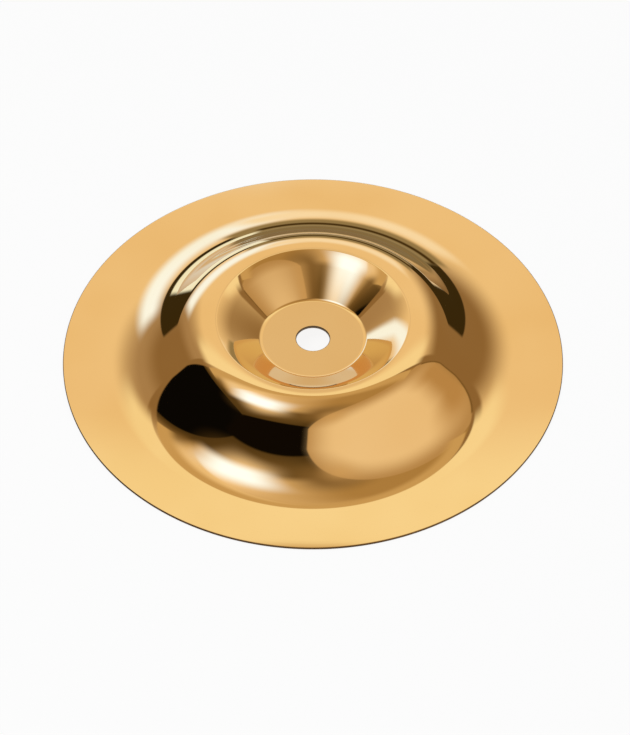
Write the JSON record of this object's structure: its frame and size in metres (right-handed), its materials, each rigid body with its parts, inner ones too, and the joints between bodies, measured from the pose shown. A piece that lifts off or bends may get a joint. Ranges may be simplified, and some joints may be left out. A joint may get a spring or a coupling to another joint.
{
  "type": "effects cymbal",
  "caption": "Small effects cymbal of polished bell bronze: wide flat rim, steep raised bell with a rounded crest and a sunken crater, and a hole in the middle for the stand's rod.",
  "frame": {"origin": "on the axis of the disc, in the plane that the rim's lower edge rests on", "axes": "+Z along the axis, from the underside to the polished face; X and Y are free, because the disc is round"},
  "size_m": [0.1905, 0.1904, 0.0201],
  "materials": {
    "bell_bronze": "mirror polished"
  },
  "bodies": {
    "root": {"cymbal": "bell_bronze"}
  },
  "joints": []
}
